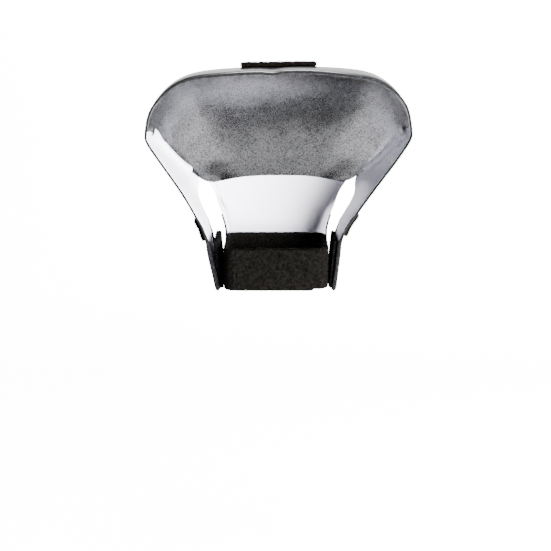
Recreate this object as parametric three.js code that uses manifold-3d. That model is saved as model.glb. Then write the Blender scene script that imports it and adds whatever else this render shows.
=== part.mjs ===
// Bendable flash bounce reflector on a hook-and-loop strap.
// Millimetres, +X right, +Y back, +Z up. The origin is the centre of the flash head's front glass: the head comes
// up through the strap from below, and its glass is level with the strap's top edge.

import * as THREE from 'three';
import { mergeVertices } from 'three/addons/utils/BufferGeometryUtils.js';
import Module from 'manifold-3d';

const wasm = await Module();
wasm.setup();

// ---- driving dimensions -------------------------------------------------------------------------------------

const GAP = 0.3; // between pieces that touch on the real object

// strap
const SOCKET_WIDTH = 73.6; // opening for the flash head
const SOCKET_DEPTH = 50.6;
const SOCKET_CORNER = 6;
const STRAP_HEIGHT = 32;
const STRAP_THICKNESS = 3;
const BAND_END_X = -33; // cut end of the band, under the tail
const TAIL_START_X = -30;
const TAIL_END_X = 28;
const HOOK_PATCH_LENGTH = 26;
const HOOK_PATCH_THICKNESS = 1.2;

// hood: a shell turned about an axis along X, with a superellipse as its section
const AXIS_Y = -58;
const AXIS_Z = 44;
const HOOD_RADIUS = 89.2;
const HOOD_HALF_WIDTH = 97;
const HOOD_SQUARENESS = 3.2;
const LIP_ANGLE = 102.5; // from straight back, over the top, to the lip at the centre
const LIP_ANGLE_SHOULDER = 103.5;
const SHOULDER_LATITUDE = 48; // where the rim turns down to the tip
const TIP_HEIGHT = 86;
const LEG_SQUARENESS = 24; // the legs' section is nearly a rectangle at the strap

// legs
const FLEX_LINE_Z = 0; // tabs bend here
const SLOT_TOP_Z = 48.5;
const LEG_HALF_WIDTH = 40.5; // back leg at the flex line
const LEG_FLARE = 19; // and this much more at the slots' tops
const ARM_HALF_WIDTH = 19.5; // side arms at the flex line
const ARM_FORWARD_LEAN = 0.29; // the arms' front edges run forward by this much for each mm up
const ARM_BACKWARD_LEAN = 0.09; // and their back edges run back by this much
const ARM_SPREAD = 0.4; // the arms spread sideways by this much for each mm up
const ARM_BEND = 6; // height over which they bend to that slope from the tabs'
const ARM_CURL = 10.5; // and by this much more, curling out, over CURL_HEIGHT
const CURL_HEIGHT = 80;
const TAB_LENGTH = 34.5;
const TAB_CORNER = 4;
const TAB_TILT = THREE.MathUtils.degToRad(5); // side tabs lean away from the strap

// sheet layers, as distances outside the hood's inner face
const INNER_SKIN = [0, 0.4];
const STIFFENER = [0.6, 1.0];
const OUTER_SKIN = [1.2, 1.6];
const SHEET_THICKNESS = OUTER_SKIN[1];

// loose insert and its strips, on the hood's inner side
const INSERT = [-1.5, -0.9];
const INSERT_BOTTOM_Z = 45.5;
const INSERT_CORNER_X = 53;
const INSERT_RIM_MARGIN = 2; // degrees short of the lip
const STRIP_FLAP = [-3.3, -2.6];
const STRIP_FOOT = [-3.3, -0.5];
const STRIP_WIDTH = 9;
const STRIP_START = 0.22; // shares of the insert's side edge, from its bottom corner to its tip
const STRIP_END = 0.9;
const STRIP_ELBOW = [56, 4]; // latitude and angle, in degrees, that the strips bend towards
const STRIP_TIP_MARGIN = [1.3, 3]; // and how far short of the hood's tips they aim

// hook and loop pads
const SIDE_PAD = { width: 38, height: 38, thickness: 3 };
const BACK_PAD = { width: 57, height: 32, thickness: 2.3 };
const OUTER_PAD = { width: 30, bottom: 2, top: 20, thickness: 2 };
const TOP_PAD = { width: 52, from: 72, to: 90, thickness: 3 }; // from and to are degrees over the top

// the sheet's grid, counted in cells; the cells beside an edge are its weld
const SHEET_COLUMNS = 38;
const ARM_COLUMNS = 10; // then one for the slot and 8 to the middle of the back
const SHEET_ROWS = 18;
const LEG_ROWS = 6; // rows below the slots' tops
const SLOT_ROW = 0.3; // height of the slots' tops, where the sheet's height is 1
const ARM_WELD = 0.07; // weld widths, as shares of the arm, the back, the legs' height and the hood's
const BACK_WELD = 0.035;
const LEG_WELD = 0.06;
const HOOD_WELD = 0.022;
const SLOT_WIDTH = 0.04; // of the slots as cut, where an arm is 1 wide

// the sheet is cut while it is thin and bowed, which keeps its cells whole
const BOW = 0.02;
const CUTTING_THICKNESS = 0.002;

// ---- materials ----------------------------------------------------------------------------------------------

const fuzzyLoop = () => new THREE.MeshStandardMaterial({ color: 0x141414, roughness: 1, metalness: 0 });
const hookTape = () => new THREE.MeshStandardMaterial({ color: 0x1b1b1b, roughness: 0.8, metalness: 0 });
const whiteVinyl = () => new THREE.MeshStandardMaterial({ color: 0xf2f2f6, roughness: 0.25, metalness: 0 });
const blackVinyl = () => new THREE.MeshStandardMaterial({ color: 0x101012, roughness: 0.2, metalness: 0 });
const clearPlastic = () => new THREE.MeshStandardMaterial({ color: 0xb8bcc2, roughness: 0.5, metalness: 0 });
const silverVinyl = () => new THREE.MeshStandardMaterial({ color: 0x9a9aa0, roughness: 0.4, metalness: 0.8 });

// ---- helpers ------------------------------------------------------------------------------------------------

const { lerp, clamp, degToRad, smoothstep } = THREE.MathUtils;

function named(name, geometry, material) {
  geometry.computeVertexNormals();
  const mesh = new THREE.Mesh(geometry, material);
  mesh.name = name;
  return mesh;
}

/** The value between low and high where test turns from true to false. */
function turningPoint(low, high, test) {
  let [inside, outside] = [low, high];
  for (let step = 0; step < 40; step += 1) {
    const middle = (inside + outside) / 2;
    if (test(middle)) inside = middle;
    else outside = middle;
  }
  return (inside + outside) / 2;
}

/** Moves each point of a geometry to place(u, v, w). */
function bend(geometry, place) {
  const position = geometry.getAttribute('position');
  for (let i = 0; i < position.count; i += 1) {
    const moved = place(position.getX(i), position.getY(i), position.getZ(i));
    position.setXYZ(i, moved.x, moved.y, moved.z);
  }
  return geometry;
}

/** Turns the cells' diagonals in the near and far faces of a box so that all run up and away from its middle. */
function fanDiagonals(box) {
  const corners = box.getIndex().array;
  const position = box.getAttribute('position');
  for (const [face, side] of [[4, -1], [5, 1]]) {
    const { start, count } = box.groups[face];
    for (let i = start; i < start + count; i += 6) {
      const [a, b, d] = corners.slice(i, i + 3);
      const c = corners[i + 4];
      const middle = position.getX(a) + position.getX(c);
      if (side * middle > 0) corners.set([a, b, c, a, c, d], i);
    }
  }
  return box;
}

/** A closed slab with its points at place(u, v, w), all three running from 0 to 1. */
function bentSlab(columns, rows, place) {
  const slab = fanDiagonals(new THREE.BoxGeometry(1, 1, 1, columns, rows, 1));
  return bend(slab.translate(0.5, 0.5, 0.5), place);
}

function toSolid(geometry) {
  const bare = geometry.clone();
  bare.deleteAttribute('normal');
  bare.deleteAttribute('uv');
  const merged = mergeVertices(bare, 1e-5);
  return new wasm.Manifold(new wasm.Mesh({
    numProp: 3,
    vertProperties: new Float32Array(merged.getAttribute('position').array),
    triVerts: new Uint32Array(merged.getIndex().array),
  }));
}

function fromSolid(solid) {
  const { vertProperties, triVerts } = solid.getMesh();
  const geometry = new THREE.BufferGeometry();
  geometry.setAttribute('position', new THREE.BufferAttribute(vertProperties, 3));
  geometry.setIndex(new THREE.BufferAttribute(triVerts, 1));
  return geometry;
}

/** A flat rounded rectangle standing in the XZ plane, its thickness along +Y from 0. */
function roundedPlate(width, bottom, top, corner, thickness) {
  const half = width / 2;
  const outline = new THREE.Shape();
  outline.moveTo(-half + corner, bottom);
  outline.lineTo(half - corner, bottom);
  outline.absarc(half - corner, bottom + corner, corner, -Math.PI / 2, 0);
  outline.lineTo(half, top);
  outline.lineTo(-half, top);
  outline.absarc(-half + corner, bottom + corner, corner, Math.PI, 1.5 * Math.PI);
  const plate = new THREE.ExtrudeGeometry(outline, { depth: thickness, bevelEnabled: false, curveSegments: 4 });
  return plate.rotateX(Math.PI / 2).translate(0, thickness, 0);
}

// ---- the hood's surface -------------------------------------------------------------------------------------

/** Height of the line, rising outwards, where the hood turns into the side arms. */
function pocketLine(x) {
  return 43.5 + Math.max(x - 57.5, -20) * 1.17;
}

/** Half the distance between the arms' inner faces at height z. */
function armSpread(z) {
  const rise = Math.max(z - FLEX_LINE_Z, 0);
  const tabSlope = Math.tan(TAB_TILT);
  const bend = (ARM_SPREAD - tabSlope) * rise ** 2 / (rise + ARM_BEND);
  return SIDE_TAB_X + tabSlope * rise + bend + ARM_CURL * (rise / CURL_HEIGHT) ** 3;
}

/** Below 1 inside the sheet's inner face, 1 on it and above 1 outside. */
function sheetForm(x, y, z) {
  const width = Math.abs(x);
  const belowLine = pocketLine(width) - z;
  const turnOver = clamp(22 - 9 * (width - 57.5) / 31, 13, 22);
  const leg = smoothstep(belowLine, 0, turnOver);
  const legSquareness = lerp(LEG_SQUARENESS, HOOD_SQUARENESS, smoothstep(z, 0, 46));
  const halfWidth = lerp(HOOD_HALF_WIDTH, armSpread(z), leg);
  const squareness = lerp(HOOD_SQUARENESS, legSquareness, leg);
  const reach = z > AXIS_Z ? Math.hypot(y - AXIS_Y, z - AXIS_Z) : Math.abs(y - AXIS_Y);
  return (width / halfWidth) ** squareness + (reach / HOOD_RADIUS) ** squareness;
}

/** Direction from the hood's centre: latitude towards +X, and angle over the top from straight back. */
function directionOf(x, y, z) {
  const depth = y - AXIS_Y;
  const rise = z - AXIS_Z;
  return [Math.atan2(x, Math.hypot(depth, rise)), Math.atan2(rise, depth)];
}

function along(latitude, angle, distance) {
  return new THREE.Vector3(
    distance * Math.sin(latitude),
    AXIS_Y + distance * Math.cos(latitude) * Math.cos(angle),
    AXIS_Z + distance * Math.cos(latitude) * Math.sin(angle),
  );
}

function innerFace(latitude, angle) {
  const distance = turningPoint(20, 175, (d) => {
    const p = along(latitude, angle, d);
    return sheetForm(p.x, p.y, p.z) < 1;
  });
  return along(latitude, angle, distance);
}

/** Point at a distance outside the inner face, measured square to it. */
function layer(latitude, angle, offset) {
  const step = 0.004;
  const here = innerFace(latitude, angle);
  const acrossX = innerFace(latitude + step, angle).sub(innerFace(latitude - step, angle));
  const upwards = innerFace(latitude, angle + step).sub(innerFace(latitude, angle - step));
  const outward = upwards.cross(acrossX).normalize();
  return here.addScaledVector(outward, offset);
}

/** Direction of the inner face's point at this depth and height, on the +X side. */
function sideDirection(y, z) {
  const x = turningPoint(0, 120, (width) => sheetForm(width, y, z) < 1);
  return directionOf(x, y, z);
}

// ---- the sheet's outline, as directions ---------------------------------------------------------------------

const BACK_TAB_Y = AXIS_Y + HOOD_RADIUS;
const SIDE_PAD_X = SOCKET_WIDTH / 2 + STRAP_THICKNESS + GAP;
const SIDE_TAB_X = SIDE_PAD_X + SIDE_PAD.thickness + GAP + TAB_LENGTH * Math.tan(TAB_TILT);
const SHEET_BOTTOM_Z = FLEX_LINE_Z + GAP;

const armFrontY = (z) => -ARM_HALF_WIDTH - ARM_FORWARD_LEAN * (z - FLEX_LINE_Z);
const armBackY = (z) => ARM_HALF_WIDTH + ARM_BACKWARD_LEAN * (z - FLEX_LINE_Z);
const TIP = sideDirection(armFrontY(TIP_HEIGHT), TIP_HEIGHT);
const SLOT_TOP = sideDirection(armBackY(SLOT_TOP_Z), SLOT_TOP_Z);
const CROWN_LATITUDE = degToRad(40); // where the slot's line meets the rim
const ARM_FRONT_AT_SLOT_TOP = 52;

function rimAngle(latitude) {
  const away = Math.abs(latitude);
  const shoulder = degToRad(SHOULDER_LATITUDE);
  const turn = clamp((away - shoulder) / (TIP[0] - shoulder), 0, 1) ** 1.6;
  const crest = lerp(degToRad(LIP_ANGLE), degToRad(LIP_ANGLE_SHOULDER), smoothstep(away, 0, shoulder));
  return lerp(crest, TIP[1], turn);
}

const mix = (a, b, share) => [lerp(a[0], b[0], share), lerp(a[1], b[1], share)];

/** Edge of the back leg, or the line above it that runs on to the rim; up goes from 0 to 1. */
function legEdge(up) {
  if (up >= SLOT_ROW) {
    const rim = [CROWN_LATITUDE, rimAngle(CROWN_LATITUDE)];
    return mix(SLOT_TOP, rim, (up - SLOT_ROW) / (1 - SLOT_ROW));
  }
  const share = up / SLOT_ROW;
  const z = lerp(SHEET_BOTTOM_Z, SLOT_TOP_Z, share);
  const x = LEG_HALF_WIDTH + LEG_FLARE * share ** 1.4;
  return directionOf(x, lerp(BACK_TAB_Y, armBackY(SLOT_TOP_Z), share ** 6), z);
}

/** Point of an arm below the slots' tops: forward is 0 at its back edge and 1 at its front, climb 0 to 1. */
function armDirection(forward, climb) {
  const z = lerp(SHEET_BOTTOM_Z, lerp(SLOT_TOP_Z, ARM_FRONT_AT_SLOT_TOP, forward), climb);
  return sideDirection(lerp(armBackY(z), armFrontY(z), forward), z);
}

function armFrontEdge(share) {
  const z = lerp(ARM_FRONT_AT_SLOT_TOP, TIP_HEIGHT, share);
  return sideDirection(armFrontY(z), z);
}

/** Point of the hood's side, between the slot's line and the arm's front edge carried up to the tip. */
function shoulderDirection(forward, share) {
  const [latitude, angle] = mix(legEdge(lerp(SLOT_ROW, 1, share)), armFrontEdge(share), forward);
  const foot = armDirection(forward, 1);
  const straightFoot = mix(SLOT_TOP, armFrontEdge(0), forward);
  const straightRim = lerp(rimAngle(CROWN_LATITUDE), TIP[1], forward);
  const rim = rimAngle(lerp(CROWN_LATITUDE, TIP[0], forward));
  return [
    latitude + (foot[0] - straightFoot[0]) * (1 - share),
    angle + (foot[1] - straightFoot[1]) * (1 - share) + (rim - straightRim) * share,
  ];
}

function backDirection(away, up) {
  const edge = legEdge(up);
  const start = Math.min(edge[1], SLOT_TOP[1]);
  const share = Math.max(up - SLOT_ROW, 0) / (1 - SLOT_ROW);
  return [edge[0] * away, lerp(start, rimAngle(CROWN_LATITUDE * away), share)];
}

/** Direction of a point of the sheet: across runs from -2 at the left arm's front edge to 2, up from 0 to 1. */
function sheetDirection(across, up) {
  const away = Math.abs(across);
  const share = (up - SLOT_ROW) / (1 - SLOT_ROW);
  let place = backDirection(away, up);
  if (away > 1) place = share > 0 ? shoulderDirection(away - 1, share) : armDirection(away - 1, up / SLOT_ROW);
  return [Math.sign(across) * place[0], place[1]];
}

/** Spreads a number of cells over 0 to 1, the first and the last being as wide as the weld. */
function welded(cell, cells, weld) {
  if (cell < 1) return weld * cell;
  if (cell > cells - 1) return 1 - weld * (cells - cell);
  return lerp(weld, 1 - weld, (cell - 1) / (cells - 2));
}

/** Place across the sheet of a grid line counted from the middle. */
function acrossAt(cell) {
  const backCells = SHEET_COLUMNS / 2 - ARM_COLUMNS - 1;
  const onArm = Math.abs(cell) - backCells - 1;
  if (onArm < 0) return (1 - SLOT_WIDTH / 2) * (2 * welded(cell + backCells, 2 * backCells, BACK_WELD) - 1);
  return Math.sign(cell) * lerp(1 + SLOT_WIDTH / 2, 2, welded(onArm, ARM_COLUMNS, ARM_WELD));
}

function upAt(row) {
  if (row < LEG_ROWS) return SLOT_ROW * welded(row, LEG_ROWS, LEG_WELD);
  return SLOT_ROW + (1 - SLOT_ROW) * welded(row - LEG_ROWS, SHEET_ROWS - LEG_ROWS, HOOD_WELD);
}

const bow = (x, y) => BOW * (x * x + y * y);

/** The whole sheet before bending, each cell one unit wide and high, with some cells trimmed off all edges. */
function cutSheet(trim) {
  const flat = new THREE.BoxGeometry(SHEET_COLUMNS, SHEET_ROWS, 1, SHEET_COLUMNS, SHEET_ROWS, 1);
  const bowed = bend(fanDiagonals(flat), (x, y, z) => {
    return new THREE.Vector3(x, y, bow(x, y) + CUTTING_THICKNESS * z);
  });
  const tall = 3 * bow(SHEET_COLUMNS, SHEET_ROWS);
  const kept = new THREE.BoxGeometry(SHEET_COLUMNS - 2 * trim, SHEET_ROWS - 2 * trim, tall);
  let solid = trim ? toSolid(bowed).intersect(toSolid(kept)) : toSolid(bowed);
  for (const side of [-1, 1]) {
    const slot = new THREE.BoxGeometry(1 + 2 * trim, 2 * (LEG_ROWS + trim), tall);
    slot.translate(side * (SHEET_COLUMNS / 2 - ARM_COLUMNS - 0.5), -SHEET_ROWS / 2, 0);
    solid = solid.subtract(toSolid(slot));
  }
  return fromSolid(solid);
}

/** One layer of the mushroom-shaped sheet, cut flat and then bent to the hood. */
function sheetLayer([near, far], trim) {
  return bend(cutSheet(trim), (x, y, z) => {
    const [latitude, angle] = sheetDirection(acrossAt(x), upAt(y + SHEET_ROWS / 2));
    return layer(latitude, angle, z > bow(x, y) ? near : far);
  });
}

/** A geometry cut back so that it clears the bent sheet. */
function clearOfSheet(geometry) {
  const keepOut = sheetLayer([-GAP, SHEET_THICKNESS + 2], 0);
  return fromSolid(toSolid(geometry).subtract(toSolid(keepOut)));
}

// ---- pieces of the reflector --------------------------------------------------------------------------------

/** Side edge of the insert, from its bottom corner at v = 0 to its tip at v = 1. */
function insertSide(v) {
  const corner = directionOf(INSERT_CORNER_X, BACK_TAB_Y - 6, INSERT_BOTTOM_Z);
  const elbow = STRIP_ELBOW.map(degToRad);
  const tip = STRIP_TIP_MARGIN.map((margin, i) => TIP[i] - degToRad(margin));
  return mix(mix(corner, elbow, v), mix(elbow, tip, v), v);
}

function silverInsert() {
  const margin = degToRad(INSERT_RIM_MARGIN);
  const bottom = insertSide(0)[1];
  const start = (across, v) => lerp(lerp(bottom, degToRad(LIP_ANGLE), v), insertSide(v)[1], Math.abs(across) ** 3);
  return bentSlab(36, 20, (u, v, w) => {
    const across = 2 * u - 1;
    const latitude = insertSide(v)[0] * across;
    const rim = rimAngle(insertSide(1)[0] * across) - margin;
    const angle = start(across, v) + (rim - start(across, 1)) * v;
    return layer(latitude, angle, lerp(INSERT[1], INSERT[0], w));
  });
}

/** A strip along the insert's side edge: its foot is on the sheet and its flap covers the insert's edge. */
function retainingStrip(side) {
  return bentSlab(16, 4, (u, v, w) => {
    const share = lerp(STRIP_START, STRIP_END, side > 0 ? u : 1 - u);
    const [latitude, angle] = insertSide(share);
    const here = innerFace(latitude, angle);
    const ahead = innerFace(...insertSide(share + 0.01)).sub(here).normalize();
    const outward = layer(latitude, angle, 1).sub(here);
    const towardsHood = ahead.cross(outward).normalize();
    const p = here.addScaledVector(towardsHood, (v - 0.5) * STRIP_WIDTH);
    const [stripLatitude, stripAngle] = directionOf(p.x, p.y, p.z);
    const back = v < 0.4 ? STRIP_FOOT[1] : STRIP_FLAP[1];
    return layer(side * stripLatitude, stripAngle, lerp(back, STRIP_FLAP[0], w));
  });
}

function outerPad(side) {
  const near = SHEET_THICKNESS + GAP;
  return bentSlab(4, 3, (u, v, w) => {
    const z = lerp(OUTER_PAD.bottom, OUTER_PAD.top, v);
    const middle = (armFrontY(z) + armBackY(z)) / 2;
    const y = middle - side * (u - 0.5) * OUTER_PAD.width;
    const [latitude, angle] = sideDirection(y, z);
    return layer(side * latitude, angle, lerp(near + OUTER_PAD.thickness, near, w));
  });
}

function topPad() {
  const near = SHEET_THICKNESS + GAP;
  return bentSlab(8, 4, (u, v, w) => {
    const x = (u - 0.5) * TOP_PAD.width;
    const angle = degToRad(lerp(TOP_PAD.from, TOP_PAD.to, v));
    return layer(Math.atan2(x, HOOD_RADIUS), angle, lerp(near + TOP_PAD.thickness, near, w));
  });
}

/** Hangs a plate on a side tab's flex line, with the tab's tilt; inward is its face's distance inside the tab's. */
function hangOnSide(plate, side, inward) {
  plate.translate(0, -inward, 0);
  plate.rotateZ(-side * Math.PI / 2);
  plate.rotateY(side * TAB_TILT);
  return plate.translate(side * SIDE_TAB_X, 0, FLEX_LINE_Z);
}

function sideTab(side) {
  return hangOnSide(roundedPlate(2 * ARM_HALF_WIDTH, -TAB_LENGTH, 0, TAB_CORNER, SHEET_THICKNESS), side, 0);
}

function sidePad(side) {
  const bottom = GAP - TAB_LENGTH;
  const plate = roundedPlate(SIDE_PAD.width, bottom, bottom + SIDE_PAD.height, 1, SIDE_PAD.thickness);
  return hangOnSide(plate, side, SIDE_PAD.thickness + GAP);
}

function backTab() {
  const plate = roundedPlate(2 * LEG_HALF_WIDTH, -TAB_LENGTH, 0, TAB_CORNER, SHEET_THICKNESS);
  return plate.translate(0, BACK_TAB_Y, FLEX_LINE_Z);
}

function backPad() {
  const top = FLEX_LINE_Z - 2 * GAP;
  const plate = roundedPlate(BACK_PAD.width, top - BACK_PAD.height, top, 1, BACK_PAD.thickness);
  return plate.translate(0, BACK_TAB_Y - GAP - BACK_PAD.thickness, 0);
}

// ---- pieces of the strap ------------------------------------------------------------------------------------

const BAND_FRONT_Y = -SOCKET_DEPTH / 2 - STRAP_THICKNESS; // outer face of the band's inner turn
const TAIL_BACK_Y = BAND_FRONT_Y - HOOK_PATCH_THICKNESS - 2 * GAP;

/** One open turn round the flash head; its left front corner steps out to lie over the turn's own end. */
function strapBand() {
  const quarter = Math.PI / 2;
  const x = SOCKET_WIDTH / 2 - SOCKET_CORNER;
  const y = SOCKET_DEPTH / 2 - SOCKET_CORNER;
  const stepY = TAIL_BACK_Y + SOCKET_CORNER;
  const inner = SOCKET_CORNER;
  const outer = SOCKET_CORNER + STRAP_THICKNESS;
  const outline = new THREE.Shape();
  outline.moveTo(BAND_END_X, -SOCKET_DEPTH / 2);
  outline.lineTo(BAND_END_X, BAND_FRONT_Y);
  outline.absarc(x, -y, outer, -quarter, 0);
  outline.absarc(x, y, outer, 0, quarter);
  outline.absarc(-x, y, outer, quarter, 2 * quarter);
  outline.absarc(-x, stepY, outer, 2 * quarter, 3 * quarter);
  outline.lineTo(TAIL_START_X, TAIL_BACK_Y - STRAP_THICKNESS);
  outline.lineTo(TAIL_START_X, TAIL_BACK_Y);
  outline.absarc(-x, stepY, inner, 3 * quarter, 2 * quarter, true);
  outline.absarc(-x, y, inner, 2 * quarter, quarter, true);
  outline.absarc(x, y, inner, quarter, 0, true);
  outline.absarc(x, -y, inner, 0, -quarter, true);
  const band = new THREE.ExtrudeGeometry(outline, { depth: STRAP_HEIGHT, bevelEnabled: false, curveSegments: 5 });
  return band.translate(0, 0, -STRAP_HEIGHT);
}

function strapTail() {
  const length = TAIL_END_X - TAIL_START_X - GAP;
  const tail = new THREE.BoxGeometry(length, STRAP_THICKNESS, STRAP_HEIGHT);
  return tail.translate(TAIL_END_X - length / 2, TAIL_BACK_Y - STRAP_THICKNESS / 2, -STRAP_HEIGHT / 2);
}

function strapHookPatch() {
  const height = STRAP_HEIGHT - 4;
  const patch = new THREE.BoxGeometry(HOOK_PATCH_LENGTH, HOOK_PATCH_THICKNESS, height);
  const y = TAIL_BACK_Y + GAP + HOOK_PATCH_THICKNESS / 2;
  return patch.translate(TAIL_END_X - HOOK_PATCH_LENGTH / 2 - 1, y, -STRAP_HEIGHT / 2);
}

// ---- assembly -----------------------------------------------------------------------------------------------

const strap = new THREE.Group();
strap.add(named('strap_band', strapBand(), fuzzyLoop()));
strap.add(named('strap_tail', strapTail(), fuzzyLoop()));
strap.add(named('strap_hook_patch', strapHookPatch(), hookTape()));

const reflector = new THREE.Group();
reflector.add(named('inner_skin', sheetLayer(INNER_SKIN, 0), whiteVinyl()));
reflector.add(named('stiffener', sheetLayer(STIFFENER, 1), clearPlastic()));
reflector.add(named('outer_skin', sheetLayer(OUTER_SKIN, 0), blackVinyl()));
reflector.add(named('silver_insert', clearOfSheet(silverInsert()), silverVinyl()));
reflector.add(named('top_pad', topPad(), fuzzyLoop()));
reflector.add(named('back_tab', backTab(), blackVinyl()));
reflector.add(named('back_hook_pad', backPad(), hookTape()));
for (const [name, side] of [['left', -1], ['right', 1]]) {
  reflector.add(named(`${name}_retaining_strip`, clearOfSheet(retainingStrip(side)), whiteVinyl()));
  reflector.add(named(`${name}_outer_pad`, outerPad(side), fuzzyLoop()));
  reflector.add(named(`${name}_tab`, sideTab(side), blackVinyl()));
  reflector.add(named(`${name}_hook_pad`, sidePad(side), hookTape()));
}

const bounceReflector = new THREE.Group();
bounceReflector.add(strap, reflector);

export default bounceReflector;
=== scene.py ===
"""Bendable bounce reflector on its hook-and-loop strap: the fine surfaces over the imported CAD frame."""
import math

import bmesh
import bpy
import numpy as np
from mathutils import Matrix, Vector, kdtree


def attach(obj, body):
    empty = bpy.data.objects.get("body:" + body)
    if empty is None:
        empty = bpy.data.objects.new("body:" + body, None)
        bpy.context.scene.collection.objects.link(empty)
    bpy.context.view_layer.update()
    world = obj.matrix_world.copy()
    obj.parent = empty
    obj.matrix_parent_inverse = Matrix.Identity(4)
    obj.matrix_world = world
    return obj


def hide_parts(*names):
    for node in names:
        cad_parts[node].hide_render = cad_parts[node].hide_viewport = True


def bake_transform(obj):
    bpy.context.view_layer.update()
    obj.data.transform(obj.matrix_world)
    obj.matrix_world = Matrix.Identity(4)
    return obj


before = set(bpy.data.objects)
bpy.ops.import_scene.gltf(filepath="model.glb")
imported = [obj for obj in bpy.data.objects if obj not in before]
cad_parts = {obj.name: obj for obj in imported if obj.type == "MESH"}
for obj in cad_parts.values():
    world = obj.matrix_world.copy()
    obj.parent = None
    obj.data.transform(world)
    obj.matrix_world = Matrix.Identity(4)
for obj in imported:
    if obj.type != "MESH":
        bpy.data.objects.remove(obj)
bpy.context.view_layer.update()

MM = 0.001

# ---- camera

CAMERA_POSITION = (0.0, -0.725, 0.170)
CAMERA_DOWN_DEG = 15.3
FOCAL_MM = 62.4

camera_data = bpy.data.cameras.new("camera")
camera_data.sensor_width = 36.0
camera_data.lens = FOCAL_MM
camera_data.shift_x = -0.0013
camera_data.shift_y = -0.0009
camera_data.clip_end = 20.0
camera = bpy.data.objects.new("camera", camera_data)
camera.location = CAMERA_POSITION
camera.rotation_euler = (math.radians(90 - CAMERA_DOWN_DEG), 0.0, 0.0)
bpy.context.scene.collection.objects.link(camera)
bpy.context.scene.camera = camera

# ---- the hood's surface, in millimetres, as the CAD has it

STRAP_HEIGHT, STRAP_THICK, WEBBING_THICK = 32.0, 3.0, 3.0 - 0.1
SOCKET_X, SOCKET_Y, SOCKET_CORNER = 36.8, 25.3, 6.0
HOOK_PAD_THICK, LAYER_GAP = 3.0, 0.3
AXIS_Y, AXIS_Z = -58.0, 44.0
HOOD_RADIUS, HOOD_HALF_WIDTH, HOOD_SQUARENESS = 89.2, 97.0, 3.2
LIP, LIP_SHOULDER, SHOULDER = math.radians(102.5), math.radians(103.5), math.radians(48)
TIP_HEIGHT = 86.0
LEG_SQUARENESS, LEG_SQUARE_TOP_Z = 24.0, 46
LEG_HALF, LEG_FLARE, ARM_HALF = 40.5, 19.0, 19.5
SLOT_TOP_Z = 48.5
TAB_LENGTH, TAB_CORNER = 34.5, 4.0
TAB_SLOPE = math.tan(math.radians(5))
SIDE_TAB_X = SOCKET_X + STRAP_THICK + LAYER_GAP + HOOK_PAD_THICK + LAYER_GAP + TAB_LENGTH * TAB_SLOPE
BACK_TAB_Y = AXIS_Y + HOOD_RADIUS
SHEET_BOTTOM_Z = 0.3
ARM_FRONT_TOP = 52.0
ARM_LEAN, ARM_FLEX_HEIGHT = 0.4, 6
ARM_FLARE, ARM_FLARE_HEIGHT = 10.5, 80
ARM_FRONT_LEAN, ARM_BACK_LEAN = 0.29, 0.09
POCKET_X, POCKET_Z, POCKET_SLOPE, POCKET_REACH = 57.5, 43.5, 1.17, 20
TURN_OVER, TURN_OVER_LOSS, TURN_OVER_SPAN = 22, 9, 31
CROWN = math.radians(40)
SLOT_ROW = 0.3  # the share of a leg's height where the slots between the legs end
NEAREST_FACE, FARTHEST_FACE, WIDEST_FACE = 20.0, 175.0, 120.0
HALVINGS = 42


def smooth(value, low, high):
    """0 below low, 1 above high and an even S between them."""
    t = np.clip((value - low) / (high - low), 0, 1)
    return t * t * (3 - 2 * t)


def lerp(a, b, t):
    """The value a share t of the way from a to b."""
    return a + (b - a) * t


def unit(vectors):
    return vectors / np.linalg.norm(vectors, axis=-1, keepdims=True)


def arm_spread(z):
    """How far out the arms' inner faces are: they lean out above the flex line and flare towards the hood."""
    rise = np.maximum(z, 0)
    return (SIDE_TAB_X + TAB_SLOPE * rise + (ARM_LEAN - TAB_SLOPE) * rise**2 / (rise + ARM_FLEX_HEIGHT)
            + ARM_FLARE * (rise / ARM_FLARE_HEIGHT) ** 3)


def pocket_line(x):
    """Height where the hood's round pocket begins, across its width."""
    return POCKET_Z + np.maximum(x - POCKET_X, -POCKET_REACH) * POCKET_SLOPE


def sheet_form(x, y, z):
    """Below 1 inside the sheet's inner face, 1 on it and above 1 outside."""
    width = np.abs(x)
    turn_over = np.clip(TURN_OVER - TURN_OVER_LOSS * (width - POCKET_X) / TURN_OVER_SPAN,
                        TURN_OVER - TURN_OVER_LOSS, TURN_OVER)
    leg = smooth(pocket_line(width) - z, 0, turn_over)
    half = lerp(HOOD_HALF_WIDTH, arm_spread(z), leg)
    square = lerp(HOOD_SQUARENESS, lerp(LEG_SQUARENESS, HOOD_SQUARENESS, smooth(z, 0, LEG_SQUARE_TOP_Z)), leg)
    reach = np.where(z > AXIS_Z, np.hypot(y - AXIS_Y, z - AXIS_Z), np.abs(y - AXIS_Y))
    return (width / half) ** square + (reach / HOOD_RADIUS) ** square


def turning_point(low, high, inside):
    """Where inside() turns false between low and high, found by halving."""
    for _ in range(HALVINGS):
        middle = (low + high) / 2
        within = inside(middle)
        low, high = np.where(within, middle, low), np.where(within, high, middle)
    return (low + high) / 2


def direction_of(x, y, z):
    """Latitude off the middle plane and angle about the hood's axis of a point."""
    return np.arctan2(x, np.hypot(y - AXIS_Y, z - AXIS_Z)), np.arctan2(z - AXIS_Z, y - AXIS_Y)


def along(latitude, angle, distance):
    """The point at a distance from the hood's centre in a direction."""
    ring = distance * np.cos(latitude)
    return np.stack([distance * np.sin(latitude), AXIS_Y + ring * np.cos(angle), AXIS_Z + ring * np.sin(angle)], -1)


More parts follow.
